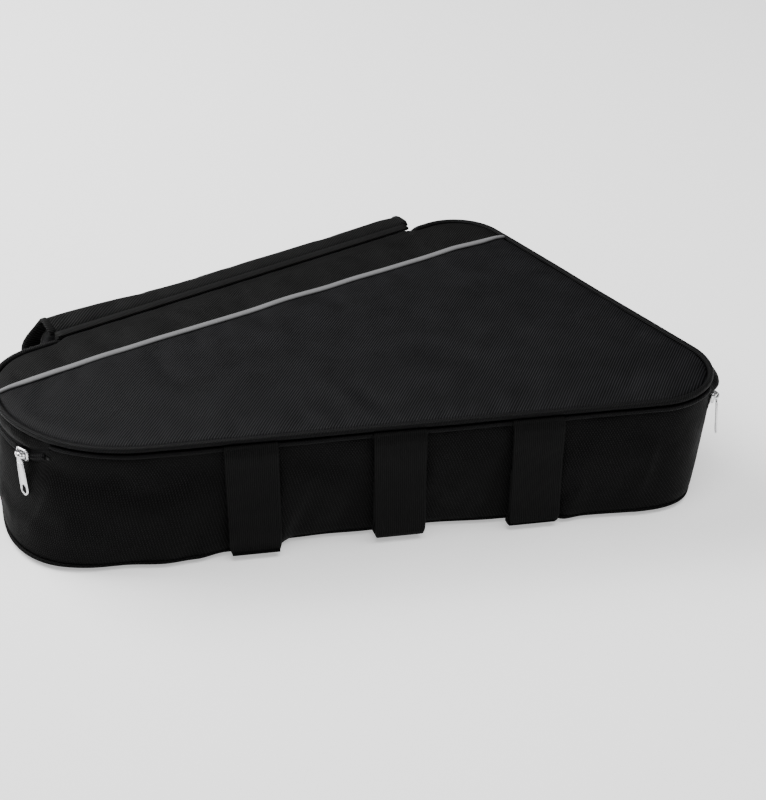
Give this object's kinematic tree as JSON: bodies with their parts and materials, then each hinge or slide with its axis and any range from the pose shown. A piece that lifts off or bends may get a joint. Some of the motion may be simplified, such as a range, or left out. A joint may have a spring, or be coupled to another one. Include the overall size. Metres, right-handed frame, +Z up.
{
  "type": "bicycle frame bag",
  "caption": "Padded quadrilateral zip case for a bicycle frame triangle, with wrap straps along the front and a top-tube wrap along the back.",
  "frame": {"origin": "on the base, at the middle of the plan's sharp-cornered outline", "axes": "+X along the front edge to the right, +Y to the back edge with the wrap, +Z up through the thickness to the lid"},
  "size_m": [0.5661, 0.3661, 0.104],
  "materials": {
    "twill_fabric": "coarse black twill nylon",
    "reflective_piping": "grey retroreflective piping",
    "edge_piping": "black fabric-covered cord",
    "webbing": "black ribbed nylon webbing",
    "lining_fabric": "plain black polyester lining",
    "foam": "closed-cell padding foam",
    "stiffener_board": "polyethylene board",
    "hook_tape": "hook side of hook-and-loop tape",
    "loop_tape": "loop side of hook-and-loop tape",
    "zip_tape": "black woven zip tape",
    "zip_coil": "black nylon coil",
    "zip_metal": "bright nickel-plated zinc"
  },
  "bodies": {
    "tray": {"base_panel": "twill_fabric", "base_board": "stiffener_board", "base_foam": "foam", "base_lining": "lining_fabric", "wall_panel": "twill_fabric", "wall_foam": "foam", "wall_lining": "lining_fabric", "bottom_welt": "edge_piping", "hinge_strip": "twill_fabric", "zip_tape_lower": "zip_tape", "zip_teeth_lower": "zip_coil", "zip_stop_left": "zip_metal", "zip_stop_right": "zip_metal", "strap_1_loop_patch": "loop_tape", "strap_2_loop_patch": "loop_tape", "strap_3_loop_patch": "loop_tape", "wrap_gusset": "twill_fabric", "wrap_loop_patch": "loop_tape"},
    "lid": {"lid_front_panel": "twill_fabric", "lid_rear_panel": "twill_fabric", "reflective_strip": "reflective_piping", "lid_piping": "edge_piping", "lid_foam": "foam", "lid_lining": "lining_fabric", "rim_band": "twill_fabric", "zip_tape_upper": "zip_tape", "zip_teeth_upper": "zip_coil"},
    "slider_left": {"slider_left_body": "zip_metal"},
    "puller_left": {"puller_left": "zip_metal"},
    "slider_right": {"slider_right_body": "zip_metal"},
    "puller_right": {"puller_right": "zip_metal"},
    "strap_1": {"strap_1_webbing": "webbing", "strap_1_hook_patch": "hook_tape"},
    "strap_2": {"strap_2_webbing": "webbing", "strap_2_hook_patch": "hook_tape"},
    "strap_3": {"strap_3_webbing": "webbing", "strap_3_hook_patch": "hook_tape"},
    "wrap": {"wrap_cover": "twill_fabric", "wrap_padding": "foam", "wrap_lining": "lining_fabric", "wrap_hook_patch": "hook_tape"}
  },
  "joints": [
    {"name": "lid_hinge", "type": "hinge", "parent": "tray", "child": "lid", "pos_m": [0, -0.175, 0.0978], "axis": [1, 0, 0], "range_deg": [0, 110]},
    {"name": "slider_left_travel", "type": "hinge", "parent": "tray", "child": "slider_left", "pos_m": [-0.1805, -0.0605, 0.081], "axis": [0, 0, -1], "range_deg": [0, 34]},
    {"name": "puller_left_swing", "type": "hinge", "parent": "slider_left", "child": "puller_left", "pos_m": [-0.27317, -0.1329, 0.081], "axis": [-0.6157, 0.788, 0], "range_deg": [0, 160]},
    {"name": "slider_right_travel", "type": "hinge", "parent": "tray", "child": "slider_right", "pos_m": [0.21021, -0.1205, 0.081], "axis": [0, 0, 1], "range_deg": [0, 30]},
    {"name": "puller_right_swing", "type": "hinge", "parent": "slider_right", "child": "puller_right", "pos_m": [0.26557, -0.13638, 0.081], "axis": [-0.2756, -0.9613, 0], "range_deg": [0, 160]},
    {"name": "strap_1_swing", "type": "hinge", "parent": "tray", "child": "strap_1", "pos_m": [-0.104, -0.1751, 0.09], "axis": [-1, 0, 0], "range_deg": [0, 90]},
    {"name": "strap_2_swing", "type": "hinge", "parent": "tray", "child": "strap_2", "pos_m": [0.007, -0.1751, 0.09], "axis": [-1, 0, 0], "range_deg": [0, 90]},
    {"name": "strap_3_swing", "type": "hinge", "parent": "tray", "child": "strap_3", "pos_m": [0.1125, -0.1751, 0.09], "axis": [-1, 0, 0], "range_deg": [0, 90]},
    {"name": "wrap_swing", "type": "hinge", "parent": "tray", "child": "wrap", "pos_m": [-0.0899, 0.08309, 0.1], "axis": [0.9041, 0.4273, 0], "range_deg": [0, 100]}
  ]
}
